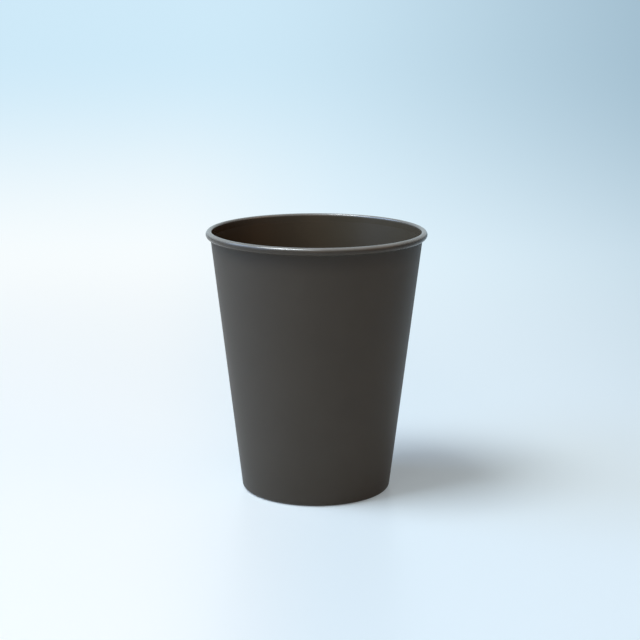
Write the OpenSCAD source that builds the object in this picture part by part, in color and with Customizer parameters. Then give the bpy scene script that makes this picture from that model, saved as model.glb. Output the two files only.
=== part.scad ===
// Plastic coffee cup: one piece of dark plastic with a rolled rim, a straight tapered wall,
// a rounded heel and a base that stands clear of the table on a foot ring.
// Millimetres, +Z up. The origin is on the table, under the middle of the foot.

/* [Cup] */
// Diameter over the rolled rim
rim_d = 90; // [72:0.5:100]
// Height from the table to the top of the rim
cup_h = 107.9; // [80:0.1:160]
// Diameter of the foot, where the line of the wall meets the table
foot_d = 61; // [48:0.5:68]
// Thickness of the plastic, which is the same all over
sheet_t = 0.8; // [0.5:0.05:1.1]

/* [Rolled rim] */
// Height of the roll, which is round on its outer side
roll_d = 3.1; // [2.8:0.1:4]
// Radius of the bend over the top of the wall, on the hollow side
turn_r = 0.1; // [0.05:0.05:0.6]
// Gap between the free edge of the roll and the wall
roll_gap = 0.3; // [0.1:0.05:0.6]

/* [Foot] */
// Radius of the heel, on the outside
heel_r = 1.8; // [1.3:0.1:4]
// Width of the flat ring that stands on the table
foot_w = 2; // [1:0.1:6]
// Radius of the foot ring's inner edge, on the outside
foot_edge_r = 1.5; // [1.3:0.1:2.5]
// Lean of the foot ring's inner side, in degrees
foot_lean = 12; // [2:1:25]

/* [Base] */
// Height of the base above the table, on its underside
base_h = 4; // [3.5:0.1:9]
// Radius of the bend at the edge of the base, on its underside
base_edge_r = 1.2; // [0.5:0.1:1.8]

/* [Hidden] */
$fn = 180;
// Largest step along a bend, in degrees
bend_step = 7.5;
// Shortest step along a tight bend
short_step = 0.05;

// Places in the section are [distance from the axis, height]
function toward(angle) = [cos(angle), sin(angle)];

// Rim: the wall turns over in a tight bend, and the roll goes on from there about a lower centre
roll_r = roll_d / 2;
roll_c = [rim_d / 2 - roll_r, cup_h - roll_r];
turn_c = [roll_c.x, cup_h - sheet_t - turn_r];

// Wall: the outer face leans out from the foot's corner and touches the tight bend
foot_to_turn = turn_c - [foot_d / 2, 0];
wall_lean = acos(turn_r / norm(foot_to_turn)) - atan2(foot_to_turn.y, foot_to_turn.x);

// Heel: touches the table and the wall's outer face
heel_c = [foot_d / 2 + heel_r * (tan(wall_lean) - 1 / cos(wall_lean)), heel_r];

// Roll: comes down from the top and round to a free edge beside the wall.
// Its two stretches meet at the widest point, so that point lies on the outline.
wall_to_roll = turn_r + sin(wall_lean) * (turn_c.y - roll_c.y);
roll_end = -wall_lean - acos((roll_gap - wall_to_roll) / roll_r);
roll_stretches = [[90, 0], [0, roll_end]];

// Foot ring and base: the ring's inner side touches the bends at both of its ends
foot_c = [heel_c.x - foot_w, foot_edge_r];
base_c_z = base_h - base_edge_r;
bends_apart = foot_edge_r + base_edge_r + sin(foot_lean) * (base_c_z - foot_c.y);
base_c = [foot_c.x - bends_apart / cos(foot_lean), base_c_z];

// Points of a bend. skip leaves out the first where the last bend already ends there.
function bend(centre, r, from, to, skip = 0) =
    let (step = max(bend_step, short_step / r * 180 / PI))
    let (steps = ceil(abs(to - from) / step))
    [for (i = [skip : steps]) centre + r * toward(from + (to - from) * i / steps)];

// One face of the plastic, from the middle of the base to the free edge of the roll.
// depth is 0 on the underside and the outside, and the full thickness on the inside.
function face(depth) = [
    [0, base_h + depth],
    each bend(base_c, base_edge_r + depth, 90, foot_lean),
    each bend(foot_c, foot_edge_r - depth, 180 + foot_lean, 270),
    each bend(heel_c, heel_r - depth, -90, -wall_lean),
    each bend(turn_c, turn_r + depth, 180 - wall_lean, 90),
    for (turn = roll_stretches)
        each bend(roll_c, roll_r - sheet_t + depth, turn[0], turn[1], 1)
];

function reverse(points) = [for (i = [len(points) - 1 : -1 : 0]) points[i]];

module cup() {
    color("#443f39")
        rotate_extrude()
            polygon([each face(0), each reverse(face(sheet_t))]);
}

cup();
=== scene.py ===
from math import pi, radians
import bpy
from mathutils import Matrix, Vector


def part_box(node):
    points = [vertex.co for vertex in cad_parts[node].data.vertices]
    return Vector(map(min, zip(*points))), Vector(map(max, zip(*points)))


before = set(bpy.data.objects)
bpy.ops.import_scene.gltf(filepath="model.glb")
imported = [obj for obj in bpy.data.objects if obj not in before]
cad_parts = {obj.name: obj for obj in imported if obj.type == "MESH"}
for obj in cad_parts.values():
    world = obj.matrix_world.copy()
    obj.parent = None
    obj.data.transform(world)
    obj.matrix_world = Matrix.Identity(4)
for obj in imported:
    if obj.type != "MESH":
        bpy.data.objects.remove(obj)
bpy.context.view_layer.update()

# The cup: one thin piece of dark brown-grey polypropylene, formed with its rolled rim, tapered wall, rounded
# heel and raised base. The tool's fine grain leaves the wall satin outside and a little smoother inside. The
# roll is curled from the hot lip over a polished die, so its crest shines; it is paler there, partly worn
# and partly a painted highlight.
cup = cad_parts["cup"]


class Signal:
    """One value of a material, carried by a socket. Arithmetic on it adds the Math nodes."""

    def __init__(self, tree, socket=None):
        self.tree = tree
        self.socket = socket

    def add(self, kind, settings, sockets, output=0):
        """Adds a node, sets its settings and then its sockets' values or links, and gives an output."""
        node = self.tree.nodes.new(kind)
        for name, value in settings.items():
            setattr(node, name, value)
        for name, value in sockets.items():
            if isinstance(value, Signal):
                self.tree.links.new(value.socket, node.inputs[name])
            else:
                node.inputs[name].default_value = value
        return Signal(self.tree, node.outputs[output]) if len(node.outputs) else None

    def out(self, name):
        """Another output of the same node."""
        return Signal(self.tree, self.socket.node.outputs[name])

    def math(self, operation, *values):
        return self.add("ShaderNodeMath", {"operation": operation}, dict(enumerate((self, *values))))

    def rise(self, low, high):
        """0 up to low, 1 from high on, and smooth between them."""
        smooth = {"interpolation_type": "SMOOTHSTEP"}
        return self.add("ShaderNodeMapRange", smooth, {0: self, 1: low, 2: high})

    def blend(self, low, high):
        """The colour low where this value is 0, and high where it is 1."""
        return self.add("ShaderNodeMix", {"data_type": "RGBA"}, {0: self, 6: low, 7: high}, 2)

    def noise(self, scale, detail, roughness):
        """A noise over this place, with about as many lumps to the metre as scale says."""
        sockets = {"Vector": self, "Scale": scale, "Detail": detail, "Roughness": roughness}
        return self.add("ShaderNodeTexNoise", {}, sockets)

    def __add__(self, other):
        return self.math("ADD", other)

    def __sub__(self, other):
        return self.math("SUBTRACT", other)

    def __mul__(self, other):
        return self.math("MULTIPLY", other)

    def __truediv__(self, other):
        return self.math("DIVIDE", other)

    def __rsub__(self, other):
        return self.add("ShaderNodeMath", {"operation": "SUBTRACT"}, {0: other, 1: self})

    __radd__ = __add__
    __rmul__ = __mul__


def new_material(name):
    """An empty material and the start of its nodes."""
    material = bpy.data.materials.new(name)
    material.use_nodes = True
    material.node_tree.nodes.clear()
    return material, Signal(material.node_tree)


plastic, nodes = new_material("satin_polypropylene")
place = nodes.add("ShaderNodeTexCoord", {}, {}, "Object")
x = nodes.add("ShaderNodeSeparateXYZ", {}, {0: place}, "X")
y = x.out("Y")
z = x.out("Z")
radius = (x * x + y * y).math("SQRT")

# Sizes of the moulding in metres: the middle of the sheet, at the table and how it leans out with height,
# the roll, and the raised base inside its foot ring
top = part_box("cup")[1][2]
roll_bottom = top - 0.0031
foot_middle = 0.0301
wall_slope = 0.1201
base_height = 0.004
base_edge = 0.0267
heel_band = 0.028
gate_radius = 0.001
gate_ring_in = 0.003
gate_ring_out = 0.0035

# Where a point is: outside or inside the sheet, on the roll, on its crest, on the ring that stands on the
# table, or under the base
outside = (radius - (foot_middle + wall_slope * z)).rise(-0.0001, 0.0001)
roll = z.rise(roll_bottom - 0.0006, roll_bottom + 0.0001)
worn_and_highlight = z.rise(top - 0.0013, top - 0.0003)
shine = z.rise(top - 0.0009, top - 0.0004)
standing = 1 - z.rise(0.00005, 0.0004)
above_base = z.rise(base_height + 0.0001, base_height + 0.0004)
under = (1 - radius.rise(base_edge - 0.0005, base_edge + 0.0005)) * (1 - above_base)

# Colour: pigment stirred not quite evenly
streaks = place.noise(38, 3, 0.6)
fine = place.noise(900, 2, 0.5)
pigment = streaks.rise(0.3, 0.7) * 0.7 + fine * 0.3
outside_colour = pigment.blend((0.0545, 0.044, 0.0325, 1), (0.0605, 0.0493, 0.0368, 1))
# Painted light: the inside is a lighter, browner copy of the outside plastic, for the brighter light inside
# the cup
painted_light_inside_colour = pigment.blend((0.067, 0.0525, 0.0335, 1), (0.0755, 0.059, 0.0372, 1))
colour = outside.blend(painted_light_inside_colour, outside_colour)

# Painted shadow: it is darker below the roll, where the roll's shadow falls on the wall
painted_rim_shadow = z.rise(roll_bottom - 0.0088, roll_bottom - 0.0002) * outside * (1 - roll)
painted_rim_shadow_colour = (0.02, 0.017, 0.0135, 1)
colour = (painted_rim_shadow * 0.45).blend(colour, painted_rim_shadow_colour)
# Painted shade: it is darker towards the heel, where the wall mirrors the shaded floor
painted_heel_shade_colour = (0.035, 0.024, 0.013, 1)
colour = (outside * 0.3 * (1 - z.rise(0, heel_band))).blend(colour, painted_heel_shade_colour)

# It is paler on the crest, partly from wear and partly a painted highlight, and scuffed where the foot ring
# slides on tables
worn_highlight_colour = (0.24, 0.215, 0.18, 1)
colour = (worn_and_highlight * (0.6 + 0.25 * streaks.rise(0.3, 0.7))).blend(colour, worn_highlight_colour)
scuffed = standing * place.noise(700, 4, 0.7).rise(0.45, 0.62)
scuff_colour = (0.09, 0.085, 0.078, 1)
colour = (scuffed * 0.5).blend(colour, scuff_colour)

# Gloss: the smoother inside, the grained outside and the polished roll
inside_roughness = 0.36
grain_roughness = 0.14
roll_roughness = 0.23
scuff_roughness = 0.15
gloss_change = streaks.rise(0.25, 0.75) * 0.05 - 0.025
roughness = inside_roughness + grain_roughness * outside + gloss_change
roughness = roughness * (1 - roll) + (roll_roughness + gloss_change) * roll + scuffed * scuff_roughness

# Relief, as heights in metres: the tool's grain, which the roll lacks, and a slight unevenness of the cooled
# wall. Under the base are turning marks, and the stub of the gate in its shallow ring.
grain = place.noise(3200, 2, 0.55) * (1 - roll) * 0.000006
swell = place.noise(55, 1, 0.4) * 0.00002
turning_pitch = 0.0009
turned = (radius * 2 * pi / turning_pitch).math("SINE") * under * 0.000004
gate = (1 - radius.rise(gate_radius - 0.0001, gate_radius + 0.0002)) * under * 0.00015
ring_inner = radius.rise(gate_ring_in - 0.0001, gate_ring_in + 0.0001)
ring_outer = radius.rise(gate_ring_out - 0.0001, gate_ring_out + 0.0001)
gate_ring = ring_inner * (1 - ring_outer) * under * 0.0001
relief = grain + swell + turned + gate - gate_ring
normal = nodes.add("ShaderNodeBump", {}, {"Strength": 1, "Distance": 1, "Height": relief})
shader = nodes.add("ShaderNodeBsdfPrincipled", {}, {
    "Base Color": colour, "Roughness": roughness, "IOR": 1.49, "Specular IOR Level": 0.22,
    "Coat Weight": shine, "Coat Roughness": 0.2, "Coat IOR": 1.7, "Normal": normal})
nodes.add("ShaderNodeOutputMaterial", {}, {"Surface": shader})
cup.material_slots[0].material = plastic

# The table: a wide, smooth, pale blue-white sheet of plastic that the cup stands on, just glossy enough to
# mirror its foot softly. Its colour holds painted light, whiter on the left, and painted shade, bluer and
# darker on the right and far away.
bpy.ops.object.select_all(action="DESELECT")
bpy.ops.mesh.primitive_plane_add(size=24)
table = bpy.context.object
table.name = "table"
sheet, nodes = new_material("pale_sheet")
place = nodes.add("ShaderNodeTexCoord", {}, {}, "Object")
x = nodes.add("ShaderNodeSeparateXYZ", {}, {0: place}, "X")
y = x.out("Y")

# The colours fan out from a point in front of the cup, at this distance in metres
fan_distance = 0.9
away = (y + fan_distance).math("MAXIMUM", 0.5)
aside = x / away
closeness = fan_distance * away.math("POWER", -1)
near_left = (0.94, 0.985, 1, 1)
near_right = (0.79, 0.92, 1, 1)
far_left = (0.621, 0.82, 0.945, 1)
far_right = (0.326, 0.469, 0.575, 1)
near = aside.rise(-0.09, 0.02).blend(near_left, near_right)
far = aside.rise(-0.077, 0.272).blend(far_left, far_right)
painted_light_and_shade = closeness.rise(0.217, 0.68 + 2.2 * aside.math("MAXIMUM", 0)).blend(far, near)


def seen_ray(nodes):
    """1 for rays from the camera, a reflection or a refraction, and 0 for the light's other rays."""
    camera_ray = nodes.add("ShaderNodeLightPath", {}, {}, "Is Camera Ray")
    reflected = camera_ray.out("Is Glossy Ray")
    refracted = camera_ray.out("Is Transmission Ray")
    return camera_ray.math("MAXIMUM", reflected).math("MAXIMUM", refracted)


# The lamps' tints are taken out of the lit colour. Seen rays find part of the table glowing in its own
# colour: a quarter near the cup, painted light that pales its shadow, and all of it from 0.6 m back
lamp_tint = (1.055, 0.965, 0.87, 1)
multiply = {"data_type": "RGBA", "blend_type": "MULTIPLY"}
undertone = nodes.add("ShaderNodeMix", multiply, {0: 1, 6: painted_light_and_shade, 7: lamp_tint}, 2)
lit = nodes.add("ShaderNodeBsdfPrincipled", {}, {
    "Base Color": undertone, "Roughness": 0.32, "Specular IOR Level": 0.5})
plain = nodes.add("ShaderNodeEmission", {}, {"Color": painted_light_and_shade, "Strength": 1})
plain_share = (0.25 + 0.75 * y.rise(0, 0.6)) * seen_ray(nodes)
shader = nodes.add("ShaderNodeMixShader", {}, {0: plain_share, 1: lit, 2: plain})
nodes.add("ShaderNodeOutputMaterial", {}, {"Surface": shader})
table.data.materials.append(sheet)

# The light: five softboxes in a dim room. The main one hangs high on the left in front of the cup, a large
# cool one stands beside it on the left, and a small one helps from the front. Two weak warm ones, low in
# front and on the right, keep the shaded side brown.
def softbox(name, place, width, height, watts, colour):
    bpy.ops.object.light_add(type="AREA", location=place)
    lamp = bpy.context.object
    lamp.name = name
    lamp.data.shape = "RECTANGLE"
    lamp.data.size = width
    lamp.data.size_y = height
    lamp.data.energy = watts
    lamp.data.color = colour
    lamp.rotation_euler = (Vector((0, 0, 0.05)) - lamp.location).to_track_quat("-Z", "Y").to_euler()
    lamp.visible_camera = False


softbox("high_softbox", (-0.817, -0.364, 2.01), 0.95, 0.95, 35.7, (0.88, 0.945, 1))
softbox("front_softbox", (-0.465, -0.805, 1.994), 0.95, 0.95, 7.7, (0.8, 0.93, 1))
softbox("side_softbox", (-1.837, -0.324, 1.166), 2.2, 1.6, 43.5, (0.4, 0.62, 1))
softbox("low_softbox", (0, -2.175, 1.014), 1.4, 1.4, 4.5, (1, 0.55, 0.25))
softbox("right_softbox", (1.874, -0.682, 0.93), 1.2, 1.2, 3.8, (1, 0.43, 0.16))

room = bpy.data.worlds.new("room")
room.use_nodes = True
room.node_tree.nodes.clear()
bpy.context.scene.world = room
nodes = Signal(room.node_tree)
dim_light = (0.01, 0.01, 0.01, 1)
pale_wall = (0.48, 0.56, 0.6, 1)
light = seen_ray(nodes).blend(dim_light, pale_wall)
background = nodes.add("ShaderNodeBackground", {}, {"Color": light, "Strength": 1})
nodes.add("ShaderNodeOutputWorld", {}, {"Surface": background})

# The camera: a long lens, 0.7 m in front of the cup, that looks down on it by 12 degrees.
tilt = radians(77.63)
lean = radians(-0.171)
turn = radians(-0.088)
bpy.ops.object.camera_add(location=(0, -0.682, 0.2199), rotation=(tilt, lean, turn))
camera = bpy.context.object
camera.data.sensor_width = 36
camera.data.lens = 95.625
bpy.context.scene.camera = camera
bpy.context.scene.view_settings.view_transform = "Standard"
